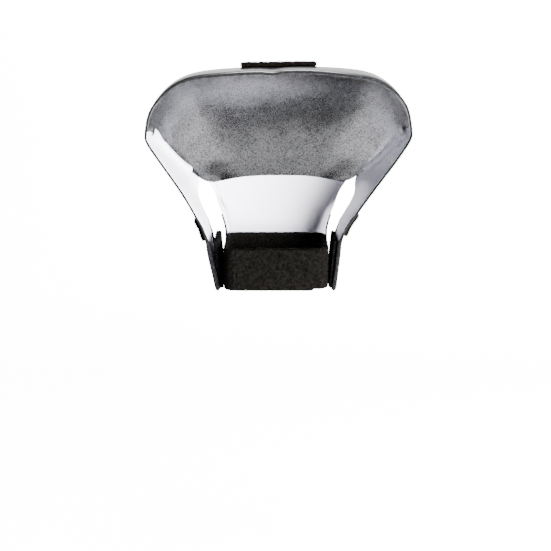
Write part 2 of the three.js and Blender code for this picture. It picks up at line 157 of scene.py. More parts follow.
def inner_face(latitude, angle):
    """Points of the sheet's inner face in the given directions."""
    def inside(distance):
        p = along(latitude, angle, distance)
        return sheet_form(p[..., 0], p[..., 1], p[..., 2]) < 1
    shape = np.broadcast(latitude, angle).shape
    distance = turning_point(np.full(shape, NEAREST_FACE), np.full(shape, FARTHEST_FACE), inside)
    return along(latitude, angle, distance)


def face_and_normal(latitude, angle):
    """Points of the sheet's inner face with the normals that point out of the hood."""
    step = 0.004
    across = inner_face(latitude + step, angle) - inner_face(latitude - step, angle)
    upwards = inner_face(latitude, angle + step) - inner_face(latitude, angle - step)
    return inner_face(latitude, angle), unit(np.cross(upwards, across))


def side_direction(y, z):
    """Direction of the right side's point at a depth and a height."""
    y, z = np.broadcast_arrays(np.asarray(y, float), np.asarray(z, float))
    x = turning_point(np.zeros(y.shape), np.full(y.shape, WIDEST_FACE), lambda w: sheet_form(w, y, z) < 1)
    return direction_of(x, y, z)


def arm_front_y(z):
    return -ARM_HALF - ARM_FRONT_LEAN * z


def arm_back_y(z):
    return ARM_HALF + ARM_BACK_LEAN * z


TIP = side_direction(arm_front_y(TIP_HEIGHT), TIP_HEIGHT)
SLOT_TOP = side_direction(arm_back_y(SLOT_TOP_Z), SLOT_TOP_Z)


def rim_angle(latitude):
    """Angle of the hood's free rim: nearly straight over the top, then turning back to the arms' front edges."""
    away = np.abs(latitude)
    turn = np.clip((away - SHOULDER) / (TIP[0] - SHOULDER), 0, 1) ** 1.6
    return lerp(lerp(LIP, LIP_SHOULDER, smooth(away, 0, SHOULDER)), TIP[1], turn)


def leg_edge(up):
    """Direction of the back leg's right edge and, above the slot, of the line that goes on to the rim."""
    share = np.clip(up / SLOT_ROW, 0, 1)
    z = lerp(SHEET_BOTTOM_Z, SLOT_TOP_Z, share)
    x = LEG_HALF + LEG_FLARE * share**1.4
    lower = direction_of(x, lerp(BACK_TAB_Y, arm_back_y(SLOT_TOP_Z), share**6), z)
    rise = np.clip((up - SLOT_ROW) / (1 - SLOT_ROW), 0, 1)
    upper = lerp(SLOT_TOP[0], CROWN, rise), lerp(SLOT_TOP[1], rim_angle(CROWN), rise)
    return tuple(np.where(up >= SLOT_ROW, b, a) for a, b in zip(lower, upper))


def arm_direction(forward, climb):
    """Direction of a point of the right arm below the slot's top."""
    z = lerp(SHEET_BOTTOM_Z, lerp(SLOT_TOP_Z, ARM_FRONT_TOP, forward), climb)
    return side_direction(lerp(arm_back_y(z), arm_front_y(z), forward), z)


def arm_front_edge(share):
    """Direction of a point of the right arm's front edge, from the slot's top level to its tip."""
    z = lerp(ARM_FRONT_TOP, TIP_HEIGHT, share)
    return side_direction(arm_front_y(z), z)


def shoulder_direction(forward, share):
    """Direction of a point of the hood's right side above the slot, between its four edges."""
    back = leg_edge(lerp(SLOT_ROW, 1, share))
    front = arm_front_edge(share)
    foot = arm_direction(forward, np.ones_like(forward))
    front_foot = arm_front_edge(np.zeros_like(share))
    straight_rim = lerp(rim_angle(CROWN), TIP[1], forward)
    rim = rim_angle(lerp(CROWN, TIP[0], forward))
    latitude = lerp(back[0], front[0], forward)
    angle = lerp(back[1], front[1], forward)
    latitude = latitude + (foot[0] - lerp(SLOT_TOP[0], front_foot[0], forward)) * (1 - share)
    angle = angle + (foot[1] - lerp(SLOT_TOP[1], front_foot[1], forward)) * (1 - share)
    return latitude, angle + (rim - straight_rim) * share


def back_direction(away, up):
    """Direction of a point of the right half of the back."""
    edge = leg_edge(up)
    share = np.maximum(up - SLOT_ROW, 0) / (1 - SLOT_ROW)
    return edge[0] * away, lerp(np.minimum(edge[1], SLOT_TOP[1]), rim_angle(CROWN * away), share)


def back_place(away, up):
    """Direction of a point between the middle of the back and the slot's line; away is from -1 to 1."""
    latitude, angle = back_direction(np.abs(away), up)
    return np.sign(away) * latitude, angle


def arm_place(forward, up):
    """Direction of a point of the right arm; forward is 0 at the slot's line and 1 at the arm's front edge."""
    share = (up - SLOT_ROW) / (1 - SLOT_ROW)
    low = arm_direction(forward, np.clip(up / SLOT_ROW, 0, 1))
    high = shoulder_direction(forward, np.clip(share, 0, 1))
    return tuple(np.where(share > 0, b, a) for a, b in zip(low, high))


# ---- small mesh tools


def waves(points, size, seed, octaves=3):
    """Smooth noise from about -1 to 1 over points, made of sine waves of about that size."""
    rng = np.random.default_rng(seed)
    total = np.zeros(points.shape[:-1])
    for octave in range(octaves):
        for _ in range(7):
            direction = rng.normal(size=3)
            direction *= 2 * math.pi * 2**octave / size / np.linalg.norm(direction)
            total += np.sin(points @ direction + rng.uniform(0, 6.28)) / 2**octave
    return total / 4.0


def make_object(name, verts, faces, material, smooth_angle=50):
    """A mesh object from millimetre points."""
    mesh = bpy.data.meshes.new(name)
    mesh.from_pydata((np.asarray(verts) * MM).tolist(), [], [tuple(int(i) for i in f) for f in faces])
    mesh.validate()
    shape = bmesh.new()
    shape.from_mesh(mesh)
    bmesh.ops.recalc_face_normals(shape, faces=shape.faces)
    shape.to_mesh(mesh)
    shape.free()
    mesh.materials.append(material)
    mesh.shade_smooth()
    mesh.set_sharp_from_angle(angle=math.radians(smooth_angle))
    obj = bpy.data.objects.new(name, mesh)
    bpy.context.scene.collection.objects.link(obj)
    return obj


def grid_quads(rows, columns, first=0):
    """The quads of a grid of points stored row by row, the first of them at index first."""
    i, j = np.meshgrid(np.arange(rows - 1), np.arange(columns - 1), indexing="ij")
    a = first + i * columns + j
    return np.stack([a, a + 1, a + columns + 1, a + columns], -1).reshape(-1, 4)


def weld_points(points, quads):
    """Joins points at the same place; returns which points are kept and the quads on them."""
    _, kept, back = np.unique(np.round(points, 3), axis=0, return_index=True, return_inverse=True)
    return kept, back.reshape(-1)[quads]


def closed_shell(near, far, quads):
    """Vertices and faces of the closed body between two layers on one grid. quads wind outwards on near."""
    count = len(near)
    edges = {}
    for quad in quads:
        for k in range(4):
            a, b = int(quad[k]), int(quad[(k + 1) % 4])
            if a != b:
                edges[(a, b)] = (b, a, a + count, b + count)
    walls = [wall for (a, b), wall in edges.items() if (b, a) not in edges]
    faces = []
    for quad in quads:
        ring = list(dict.fromkeys(int(i) for i in quad))
        if len(ring) > 2:
            faces.append(tuple(ring))
            faces.append(tuple(i + count for i in reversed(ring)))
    return np.concatenate([near, far]), faces + walls


# ---- the sheet's grid

# distances from an edge at which the grid has a line, in millimetres
EDGE_STEPS = [0, 0.25, 1.2, 2.2, 2.7, 3.0, 3.3, 3.7, 4.3, 5.2]
SEAM_UP = 0.0853  # the leg pieces begin here, 14 mm up
LOW_UPS = np.linspace(SEAM_UP, SLOT_ROW, 17)
HOOD_ARC = 158.0
HIGH_STEPS = EDGE_STEPS + list(np.arange(6.5, HOOD_ARC - 1, 2.2))  # down from the rim
HIGH_UPS = 1 - (1 - SLOT_ROW) * np.array(HIGH_STEPS[::-1]) / HOOD_ARC
HOOD_UPS = np.concatenate([LOW_UPS, HIGH_UPS])


def arc_length(points):
    """Distance along a line of points, at each of them."""
    return np.concatenate([[0], np.cumsum(np.linalg.norm(np.diff(points, axis=0), axis=1))])


def spaced(place, low, high, up, interior):
    """Places along one row, close together near both ends, as the row's own parameter."""
    fine = np.linspace(low, high, 90)
    arc = arc_length(inner_face(*place(fine, np.full(len(fine), up))))
    ends = np.array(EDGE_STEPS)
    middle = np.linspace(ends[-1], arc[-1] - ends[-1], interior + 2)[1:-1]
    wanted = np.concatenate([ends, middle, arc[-1] - ends[::-1]])
    return np.interp(wanted, arc, fine)


def block(place, low, high, ups, interior):
    """Directions of a block of the sheet, one row for each value of ups."""
    rows = [place(values, np.full(len(values), up)) for up in ups
            for values in [spaced(place, low, high, up, interior)]]
    return np.array([r[0] for r in rows]), np.array([r[1] for r in rows])


def mirrored(points, normals):
    """The left side's points and normals from the right side's."""
    flip = np.array([-1.0, 1, 1])
    return points[:, ::-1] * flip, normals[:, ::-1] * flip


ARM_INTERIOR, BACK_INTERIOR = 16, 40
SIDES = (-1, "left"), (1, "right")

# ---- how the sheet in use strays from its even shape, shared by every layer

HOOD_SHIFT, HOOD_LIFT = 1.7, 0.4
HOOD_ROLL, HOOD_ROLL_SPAN = 1.2, 95
LEFT_ARM_BOW, RIGHT_ARM_BOW = -4.3, 0.6
SHOULDER_LIFT, SHOULDER_X = 3.3, 70


def hump(value, middle, width):
    """1 at the middle, falling off evenly to both sides."""
    return np.exp(-(((value - middle) / width) ** 2))


def relax(points):
    """The hood sits a little to the right and rolled, both shoulders are lifted and the left arm bows outward."""
    x, y, z = points[..., 0], points[..., 1], points[..., 2]
    high = smooth(z, 8, 70)
    arm = smooth(y, 28, 24) * hump(z, 2, 28)
    shoulder = SHOULDER_LIFT * hump(np.abs(x), SHOULDER_X, 24) * smooth(z, 60, 100)
    moved = points.copy()
    moved[..., 0] = x + HOOD_SHIFT * high + arm * np.where(x < 0, LEFT_ARM_BOW, RIGHT_ARM_BOW)
    moved[..., 2] = z + high * (HOOD_ROLL * x / HOOD_ROLL_SPAN + HOOD_LIFT) + shoulder
    return moved


def stray(points):
    """Soft unevenness of the sheet, in millimetres along its normal: broad waves, and a dent and hollow at the lip."""
    x, y, z = points[..., 0], points[..., 1], points[..., 2]
    ripple = 0.35 * waves(points, 95, 11, 2) * smooth(z, 50, 80)
    lip = smooth(y, -46, -74) * smooth(z, 100, 125)
    dent = 1.1 * lip * hump(x, -4, 6)
    hollow = -1.5 * lip * hump(x, 52, 22)
    swell = 0.35 * lip * np.sin(x / 19.0)
    return ripple - dent + hollow + swell


# ---- profile across the sheet

EDGE_WELD, FLEX_LINES, GROOVE_WIDTH = 3.0, (1.6, 4.6), 0.36
SKINS_MIDDLE = 0.9
EDGE_BEAD, TAB_BEAD = 0.85, 1.0


def panel(distance, z):
    """1 where the stiffener lies between the skins, 0 on the edge weld and below the flex line."""
    return smooth(distance, 3.4, 4.4) * smooth(z, 3.0, 4.4)


def weld_groove(distance, z):
    """Depth of the weld lines: one along the edge and two across each leg, where it flexes."""
    edge = 0.24 * hump(distance, EDGE_WELD, 0.34)
    inside = smooth(distance, 2.0, 3.4)
    flex = 0.2 * (hump(z, FLEX_LINES[0], GROOVE_WIDTH) + hump(z, FLEX_LINES[1], GROOVE_WIDTH))
    return np.maximum(edge, flex * inside)


def layer_offsets(distance, z):
    """How far outside the sheet's inner face each layer's two faces lie."""
    raised = panel(distance, z)
    groove = weld_groove(distance, z)
    return {
        "inner": (0.42 * (1 - raised) + groove, lerp(0.78, 0.46, raised)),
        "stiffener": (lerp(0.79, 0.56, raised), lerp(0.81, 1.04, raised)),
        "outer": (1.6 - 0.42 * (1 - raised) - groove, lerp(0.82, 1.14, raised)),
    }


# ---- the sheet: where its points are

LEG_LEVELS = [0.3, 0.8, 1.2, 1.5, 1.8, 2.2, 3.0, 3.8, 4.2, 4.5, 4.8, 5.2, 6.0, 8.0, 11.0, 14.0]
LEG_UPS = [SLOT_ROW * (z - SHEET_BOTTOM_Z) / (SLOT_TOP_Z - SHEET_BOTTOM_Z) for z in LEG_LEVELS]
TAB_DROP = TAB_LENGTH + SHEET_BOTTOM_Z
TAB_DROPS = [0.5, 1.5] + list(np.arange(4.0, TAB_DROP - 6, 2.5)) + [TAB_DROP - s for s in EDGE_STEPS[::-1]]


def tab_rows(place, low, high, interior, half, slope):
    """Rows of a tab, bottom first: the leg's lowest row carried straight down, with rounded lower corners."""
    values = spaced(place, low, high, 0.0, interior)
    points, normals = face_and_normal(*place(values, np.zeros(len(values))))
    arc = arc_length(points)
    arc -= arc[-1] / 2
    rows = []
    for drop in TAB_DROPS[::-1]:
        left = TAB_DROP - drop
        cut = TAB_CORNER - math.sqrt(max(TAB_CORNER**2 - max(TAB_CORNER - left, 0) ** 2, 0))
        where = arc * (half - cut) / half
        row = np.stack([np.interp(where, arc, points[:, k]) for k in range(3)], -1)
        turn = np.stack([np.interp(where, arc, normals[:, k]) for k in range(3)], -1)
        rows.append((row + np.array([-slope, 0, -1]) * drop, turn))
    return np.array([r[0] for r in rows]), np.array([r[1] for r in rows])


def sheet_blocks():
    """Points and normals of the hood's three blocks and of the legs, on their own grids."""
    blocks = {}
    arm = face_and_normal(*block(arm_place, 0.0, 1.0, HOOD_UPS, ARM_INTERIOR))
    blocks["hood_right"] = arm
    blocks["hood_left"] = mirrored(*arm)
    blocks["hood_back"] = face_and_normal(*block(back_place, -1.0, 1.0, HOOD_UPS, BACK_INTERIOR))
    for name, place, low, interior, half, slope in (
        ("right", arm_place, 0.0, ARM_INTERIOR, ARM_HALF, TAB_SLOPE),
        ("back", back_place, -1.0, BACK_INTERIOR, LEG_HALF, 0.0),
    ):
        tab = tab_rows(place, low, 1.0, interior, half, slope)
        leg = face_and_normal(*block(place, low, 1.0, LEG_UPS, interior))
        blocks[name] = tuple(np.concatenate(pair) for pair in zip(tab, leg))
    blocks["left"] = mirrored(*blocks["right"])
    return blocks


def edge_lines(blocks):
    """Every free edge of the sheet: the rim, the arms' fronts, the slots and the legs' outlines."""
    slot_rows = len(LOW_UPS)
    hood = [blocks[k][0] for k in ("hood_left", "hood_back", "hood_right")]
    lines = [b[-1] for b in hood] + [hood[0][:, 0], hood[2][:, -1]]
    lines += [hood[0][:slot_rows, -1], hood[2][:slot_rows, 0]]
    lines += [hood[1][:slot_rows, 0], hood[1][:slot_rows, -1]]
    for name in ("left", "right", "back"):
        p = blocks[name][0]
        lines += [p[:, 0], p[:, -1], p[0]]
    return lines


def edge_tree(lines):
    """A search tree of points close together along the edges."""
    dense = []
    for line in lines:
        for a, b in zip(line[:-1], line[1:]):
            count = max(int(np.linalg.norm(b - a) / 0.3), 1)
            dense.extend(lerp(a, b, k / count) for k in range(count + 1))
    tree = kdtree.KDTree(len(dense))
    for i, p in enumerate(dense):
        tree.insert(p, i)
    tree.balance()
    return tree


def finish_points(points, normals, offset):
    """Points of a layer as it lies in use, an offset outside the sheet's inner face."""
    return relax(points + normals * (offset + stray(points))[..., None])


def bead(points, normals, sides=8):
    """A closed round bead along an edge line, centred in the sheet's thickness and thicker towards a tab's end."""
    line = finish_points(points, normals, SKINS_MIDDLE)
    radius = (EDGE_BEAD + TAB_BEAD * smooth(points[:, 2], 14, -4) * (points[:, 1] < 25))[:, None, None]
    out = unit(np.cross(unit(np.gradient(line, axis=0)), normals))
    turns = np.arange(sides) * 2 * math.pi / sides
    rings = line[:, None] + radius * (normals[:, None] * np.cos(turns)[None, :, None]
                                      + out[:, None] * np.sin(turns)[None, :, None])
    faces = [(i * sides + k, i * sides + (k + 1) % sides, (i + 1) * sides + (k + 1) % sides, (i + 1) * sides + k)
             for i in range(len(line) - 1) for k in range(sides)]
    last = (len(line) - 1) * sides
    faces += [tuple(range(sides))[::-1], tuple(last + k for k in range(sides))]
    return rings.reshape(-1, 3), faces


def leg_edge_line(leg):
    """A leg's edge as one line of points and normals: down one side, along the bottom and up the other."""
    pieces = [tuple(g[::-1, 0][:-1] for g in leg), tuple(g[0, :-1] for g in leg), tuple(g[:, -1] for g in leg)]
    return tuple(np.concatenate([p[k] for p in pieces]) for k in (0, 1))


def hood_edge(hood_parts):
    """The hood's free edge as one line of points and normals: up the left arm, over the rim, down the right arm."""
    left, back, right = hood_parts
    pieces = [tuple(g[:-1, 0] for g in left), tuple(g[-1, :-1] for g in left), tuple(g[-1, :-1] for g in back),
              tuple(g[-1, :-1] for g in right), tuple(g[::-1, -1] for g in right)]
    return tuple(np.concatenate([p[k] for p in pieces]) for k in (0, 1))


def sheet_piece(name, parts, distances, layer, material, edge):
    """One layer of the sheet over some blocks, joined where their edges meet, with a bead along its edge if given."""
    near, far, raw, quads = [], [], [], []
    first = 0
    for (points, normals), distance in zip(parts, distances):
        low, high = layer_offsets(distance, points[..., 2])[layer]
        near.append(finish_points(points, normals, low).reshape(-1, 3))
        far.append(finish_points(points, normals, high).reshape(-1, 3))
        raw.append(points.reshape(-1, 3))
        quads.append(grid_quads(points.shape[0], points.shape[1], first))
        first += points.shape[0] * points.shape[1]
    kept, joined = weld_points(np.concatenate(raw), np.concatenate(quads))
    verts, faces = closed_shell(np.concatenate(near)[kept], np.concatenate(far)[kept], joined)
    if edge is not None:
        more, more_faces = bead(*edge)
        faces = [tuple(i + len(verts) for i in face) for face in more_faces] + faces
        verts = np.concatenate([verts, more])
    piece = make_object(name, verts, faces, material)
    if edge is not None:
        piece.data.materials.append(EDGE)
        for face in piece.data.polygons[:len(more_faces)]:
            face.material_index = 1
    return piece


# ---- materials


class Nodes:
    """A material's node tree with short calls to add nodes; coordinates are the object's own, in metres."""

    def __init__(self, name, **values):
        self.material = bpy.data.materials.new(name)
        self.material.use_nodes = True
        self.tree = self.material.node_tree
        self.shader = self.tree.nodes["Principled BSDF"]
        for key, value in values.items():
            self.shader.inputs[key.replace("_", " ")].default_value = value
        self.place = self.tree.nodes.new("ShaderNodeTexCoord").outputs["Object"]

    def add(self, kind, inputs=None, **settings):
        """A node with its inputs linked to sockets or set to constants."""
        node = self.tree.nodes.new("ShaderNode" + kind)
        for key, value in settings.items():
            setattr(node, key, value)
        for key, value in (inputs or {}).items():
            if isinstance(value, bpy.types.NodeSocket):
                self.tree.links.new(value, node.inputs[key])
            else:
                node.inputs[key].default_value = value
        return node

    def warped(self, scale, distance):
        """The object's coordinates pushed about by noise."""
        swirl = self.add("TexNoise", {"Vector": self.place, "Scale": scale, "Detail": 2.0}).outputs["Color"]
        push = self.add("VectorMath", {0: swirl, 3: distance}, operation="SCALE").outputs[0]
        return self.add("VectorMath", {0: self.place, 1: push}, operation="ADD").outputs[0]

    def link(self, output, socket):
        self.tree.links.new(output, self.shader.inputs[socket])

    def noise(self, scale, detail=3.0, roughness=0.5, place=None):
        return self.add("TexNoise", {"Vector": place or self.place, "Scale": scale, "Detail": detail,
                                     "Roughness": roughness}).outputs["Fac"]

    def cells(self, scale, feature="F1", place=None):
        return self.add("TexVoronoi", {"Vector": place or self.place, "Scale": scale},
                        feature=feature).outputs["Distance"]

    def remap(self, value, low, high, to_low, to_high):
        return self.add("MapRange", {"Value": value, "From Min": low, "From Max": high, "To Min": to_low,
                                     "To Max": to_high}).outputs["Result"]

    def maths(self, operation, a, b):
        return self.add("Math", {0: a, 1: b}, operation=operation).outputs[0]

    def mix(self, factor, a, b):
        return self.add("Mix", {0: factor, 6: a, 7: b}, data_type="RGBA").outputs[2]

    def bump(self, height, distance, strength=1.0, under=None):
        inputs = {"Height": height, "Distance": distance, "Strength": strength}
        return self.add("Bump", inputs | ({"Normal": under} if under else {})).outputs["Normal"]


def rgb(red, green, blue):
    return (red, green, blue, 1.0)


def white_vinyl():
    """Gloss white vinyl, a little translucent, with slack waves and faint scuffs."""
    m = Nodes("white_vinyl", IOR=1.5, Coat_Weight=0.25, Coat_Roughness=0.2, Subsurface_Weight=0.12,
              Subsurface_Radius=(0.004, 0.004, 0.005), Subsurface_Scale=1.0)
    blotch = m.noise(16, 4)
    scuff = m.noise(240, 6, 0.65)
    tint = m.mix(m.remap(blotch, 0.35, 0.7, 0, 1), rgb(0.66, 0.655, 0.74), rgb(0.71, 0.705, 0.775))
    m.link(m.mix(m.remap(scuff, 0.66, 0.8, 0, 0.3), tint, rgb(0.56, 0.555, 0.62)), "Base Color")
    m.link(m.remap(m.maths("ADD", m.maths("MULTIPLY", scuff, 0.5), blotch), 0.5, 1.1, 0.24, 0.42), "Roughness")
    slack = m.bump(m.noise(38, 3, 0.45), 0.0012, 0.5)
    m.link(m.bump(m.noise(2600, 4, 0.6), 0.00005, 0.5, slack), "Normal")
    return m.material


def black_vinyl():
    """Gloss black vinyl with a fine leather grain and dust."""
    m = Nodes("black_vinyl", IOR=1.5, Coat_Weight=0.6, Coat_Roughness=0.12)
    blotch = m.noise(22, 4)
    dust = m.noise(1500, 5, 0.7)
    tint = m.mix(m.remap(blotch, 0.3, 0.7, 0, 1), rgb(0.004, 0.004, 0.005), rgb(0.009, 0.009, 0.011))
    m.link(m.mix(m.remap(dust, 0.68, 0.78, 0, 0.5), tint, rgb(0.03, 0.03, 0.032)), "Base Color")
    m.link(m.remap(m.maths("ADD", m.maths("MULTIPLY", dust, 0.6), blotch), 0.5, 1.1, 0.2, 0.4), "Roughness")
    slack = m.bump(m.noise(30, 3, 0.5), 0.0011, 0.5)
    grain = m.bump(m.cells(1100, "SMOOTH_F1"), 0.00008, 0.45, slack)
    m.link(m.bump(m.noise(3500, 3, 0.6), 0.00004, 0.4, grain), "Normal")
    return m.material


def silver_vinyl():
    """Silver vinyl with a pebble grain of about a millimetre; painted shade darkens its valleys and a painted highlight
    brightens the tops of its fine bumps.
    """
    m = Nodes("silver_vinyl", Metallic=1.0, IOR=1.5)
    pebbles = m.cells(1050, "SMOOTH_F1", m.warped(420.0, 0.0012))
    fine = m.noise(2400, 4, 0.65)
    blotch = m.noise(45, 4, 0.6)
    height = m.maths("ADD", m.maths("MULTIPLY", pebbles, -1.0), m.maths("MULTIPLY", fine, 0.45))
    # painted shade: the grain's valleys are coloured darker
    valley_shade = m.remap(pebbles, 0.25, 0.7, 0, 1)
    tint = m.mix(m.remap(blotch, 0.36, 0.66, 0, 1), rgb(0.29, 0.29, 0.298), rgb(0.38, 0.38, 0.388))
    # painted highlight: lighter colour where the fine noise also raises the grain
    tint_and_top_highlight = m.mix(m.remap(fine, 0.56, 0.72, 0, 0.75), tint, rgb(0.66, 0.66, 0.68))
    m.link(m.mix(valley_shade, tint_and_top_highlight, rgb(0.13, 0.13, 0.136)), "Base Color")
    m.link(m.remap(m.maths("ADD", fine, m.maths("MULTIPLY", blotch, 0.6)), 0.6, 1.05, 0.22, 0.35), "Roughness")
    slack = m.bump(m.noise(26, 3, 0.5), 0.0011, 0.45)
    m.link(m.bump(height, 0.00026, 0.6, slack), "Normal")
    return m.material


def worn_edge():
    """The skins' fused edge: matt, a little rough and rubbed grey in places."""
    m = Nodes("black_edge", Roughness=0.75, Specular_IOR_Level=0.2)
    rubbed = m.remap(m.noise(700, 4, 0.6), 0.5, 0.72, 0, 1)
    m.link(m.mix(rubbed, rgb(0.004, 0.004, 0.0045), rgb(0.02, 0.02, 0.022)), "Base Color")
    m.link(m.bump(m.noise(1500, 4), 0.0001, 0.6), "Normal")
    return m.material


def satin_plastic():
    """The stiffener's satin white sheet."""
    m = Nodes("stiffener_plastic", IOR=1.49)
    m.link(m.mix(m.noise(60, 3), rgb(0.66, 0.67, 0.69), rgb(0.76, 0.77, 0.79)), "Base Color")
    m.link(m.remap(m.noise(900, 4), 0.3, 0.7, 0.38, 0.55), "Roughness")
    m.link(m.bump(m.noise(1800, 3), 0.00003, 0.5), "Normal")
    return m.material


def loop_fabric(name, dark, light, nap):
    """Brushed nylon: curls of yarn a fraction of a millimetre across, with lint and brushed tufts."""
    m = Nodes(name, Roughness=1.0, Sheen_Weight=0.004, Sheen_Roughness=0.45, Sheen_Tint=rgb(0.55, 0.56, 0.55),
              Specular_IOR_Level=0.02)
    curl = m.warped(900.0, 0.0011)
    yarn = m.noise(2100, 5, 0.7, curl)
    tuft = m.noise(620, 4, 0.6)
    lint = m.cells(1500, "F1", curl)
    tone = m.maths("ADD", m.maths("MULTIPLY", yarn, 0.55), m.maths("MULTIPLY", tuft, 0.45))
    tint = m.mix(m.remap(tone, 0.41, 0.62, 0, 1), dark, light)
    m.link(m.mix(m.remap(lint, 0.0, 0.1, 0.6, 0), tint, rgb(0.013, 0.0125, 0.011)), "Base Color")
    m.link(m.bump(tone, nap, 1.0), "Normal")
    return m.material


WHITE = white_vinyl()
BLACK = black_vinyl()
SILVER = silver_vinyl()
EDGE = worn_edge()
STIFFENER = satin_plastic()
LOOP = loop_fabric("loop_webbing", rgb(0.0002, 0.0002, 0.0002), rgb(0.0055, 0.0051, 0.0044), 0.0012)
PAD = loop_fabric("loop_pad", rgb(0.0008, 0.0006, 0.0004), rgb(0.0075, 0.0064, 0.0048), 0.0011)
HOOK = loop_fabric("hook_tape", rgb(0.0004, 0.0004, 0.0004), rgb(0.006, 0.0057, 0.0054), 0.0009)

# ---- the hood, its legs and their skins

LAYER_LOOKS = {"inner": (WHITE, "white_vinyl"), "stiffener": (STIFFENER, "stiffener"), "outer": (BLACK, "black_vinyl")}
BEND_PLACES = {"left": (-0.048, 0.0), "right": (0.048, 0.0), "back": (0.0, 0.032)}


def mount(piece, body, slot, node):
    """The piece rides a body and stands for a CAD node, which it hides; slot is not used."""
    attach(piece, body)
    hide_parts(node)


def layer_pieces(names, parts, edge):
    """The named layers over some blocks; the outer skin carries the bead along the edge."""
    distances = [np.array([tree.find(p)[2] for p in points.reshape(-1, 3)]).reshape(points.shape[:-1])
                 for points, _ in parts]
    return {layer: sheet_piece(name, parts, distances, layer, LAYER_LOOKS[layer][0], edge if layer == "outer" else None)
            for layer, name in names.items()}


blocks = sheet_blocks()
tree = edge_tree(edge_lines(blocks))
hood_blocks = [blocks["hood_left"], blocks["hood_back"], blocks["hood_right"]]
hood = layer_pieces({"inner": "hood_white_skin", "stiffener": "hood_stiffener", "outer": "hood_black_skin"},
                    hood_blocks, hood_edge(hood_blocks))
for layer, node in (("inner", "inner_skin"), ("stiffener", "stiffener"), ("outer", "outer_skin")):
    mount(hood[layer], "reflector", LAYER_LOOKS[layer][1], node)

legs = {}
for side, (x, y) in BEND_PLACES.items():
    legs[side] = layer_pieces({"inner": side + "_leg_white_skin", "outer": side + "_leg_black_skin"},
                              [blocks[side]], leg_edge_line(blocks[side]))
    for layer, piece in legs[side].items():
        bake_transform(piece)
    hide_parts(side + "_tab")

# ---- the silver lining and the strips that hold it

INSERT_BOTTOM_Z, INSERT_CORNER_X, INSERT_CORNER_DEPTH = 45.5, 53.0, 6.0
STRIP_ELBOW = (math.radians(56), math.radians(4))
STRIP_TIP_MARGIN = (math.radians(1.3), math.radians(3))
RIM_MARGIN, DROOP = math.radians(0.25), math.radians(3)
STRIP_WIDTH = 9.0
STRIP_FROM, STRIP_TO = 0.22, 0.9  # shares of the lining's side edge that the strips cover
LINING_THICK, LINING_GAP = 0.38, 0.4


def insert_side(v):
    """Direction of the lining's right edge, from its bottom corner at v = 0 to its top corner at the hood's tip."""
    corner = direction_of(INSERT_CORNER_X, BACK_TAB_Y - INSERT_CORNER_DEPTH, INSERT_BOTTOM_Z)
    tip = tuple(angle - margin for angle, margin in zip(TIP, STRIP_TIP_MARGIN))
    ends = [(lerp(a, b, v), lerp(b, c, v)) for a, b, c in zip(corner, STRIP_ELBOW, tip)]
    return tuple(lerp(low, high, v) for low, high in ends)


def lining_direction(across, v):
    """Direction of a point of the lining; across is from -1 to 1 and v from 0 at its bottom to 1 at the rim."""
    def start(v):
        return lerp(lerp(insert_side(0.0)[1], LIP, v), insert_side(v)[1], np.abs(across) ** 3)
    rim = rim_angle(insert_side(1.0)[0] * across) - RIM_MARGIN
    droop = DROOP * np.abs(across) ** 2.5 * (1 - smooth(v, 0, 0.35))
    round_off = 1 - 0.06 * smooth(v, 0.09, 0) ** 2
    return insert_side(v)[0] * across * round_off, start(v) + (rim - start(1.0)) * v - droop


def lining_rise(points, across, v):
    """How far the loose lining stands off the skin: waves, a buckle above each strip and a lifted bottom edge."""
    edge = smooth(np.minimum(1 - np.abs(across), np.minimum(v, 1 - v)), 0, 0.1)
    ripple = 0.35 * waves(points, 52, 5, 2) + 0.14 * waves(points, 17, 6, 2)
    buckle = 0.7 * hump(np.abs(across), 0.86, 0.1) * smooth(v, 0.08, 0.3) * (1 - smooth(v, 0.6, 0.9))
    sag = 0.9 * smooth(v, 0.12, 0.0) * (0.6 + 0.4 * np.sin(across * 5 + 1))
    curl = 2.2 * hump(np.abs(across), 0.9, 0.16) * smooth(v, 0.3, 0.02)
    return LINING_GAP + edge * (0.45 + ripple) + buckle + sag * smooth(np.abs(across), 1.0, 0.7) + curl


def silver_lining():
    ups = np.concatenate([[0, 0.004, 0.01], np.linspace(0.02, 0.98, 88), [0.99, 0.996, 1]])
    across, v = np.meshgrid(np.linspace(-1, 1, 141), ups)
    points, normals = face_and_normal(*lining_direction(across, v))
    rise = lining_rise(points, across, v)
    near = relax(points + normals * (stray(points) - rise)[..., None])
    far = relax(points + normals * (stray(points) - rise + LINING_THICK)[..., None])
    verts, faces = closed_shell(near.reshape(-1, 3), far.reshape(-1, 3), grid_quads(*across.shape))
    return make_object("silver_lining", verts, faces, SILVER)


def strip_section(t):
    """Distance inside the skin of a strip's near and far face, for t from 0 at its foot to 1 over the lining."""
    step = smooth(t, 0.3, 0.5)
    crown = 0.5 * np.sin(math.pi * np.clip((t - 0.42) / 0.6, 0, 1))
    weld = 0.3 * hump(t, 0.22, 0.035)
    near = lerp(0.55, 1.9, step) + crown - weld
    return near, lerp(0.05, 1.45, step) + crown


def strip(side, name):
    """A white strip welded along its outer edge and lying over the lining's side edge."""
    share = lerp(STRIP_FROM, STRIP_TO, np.linspace(0, 1, 110))
    t = np.concatenate([[0, 0.02, 0.05], np.linspace(0.09, 0.94, 44), [0.97, 0.99, 1]])
    centre, outward = face_and_normal(*insert_side(share))
    towards = unit(np.cross(unit(np.gradient(centre, axis=0)), outward))
    place = centre[None] + towards[None] * ((t - 0.5) * STRIP_WIDTH)[:, None, None]
    points, normals = face_and_normal(*direction_of(*np.moveaxis(place, -1, 0)))
    points, normals = points * np.array([side, 1, 1]), normals * np.array([side, 1, 1])
    slack = 0.22 * waves(points, 16, 20 + side, 2) * smooth(t, 0.35, 0.7)[:, None]
    near, far = (relax(points + normals * (stray(points) - inside[:, None] - slack)[..., None]).reshape(-1, 3)
                 for inside in strip_section(t))
    verts, faces = closed_shell(near, far, grid_quads(len(t), len(share)))
    return make_object(name + "_strip", verts, faces, WHITE)


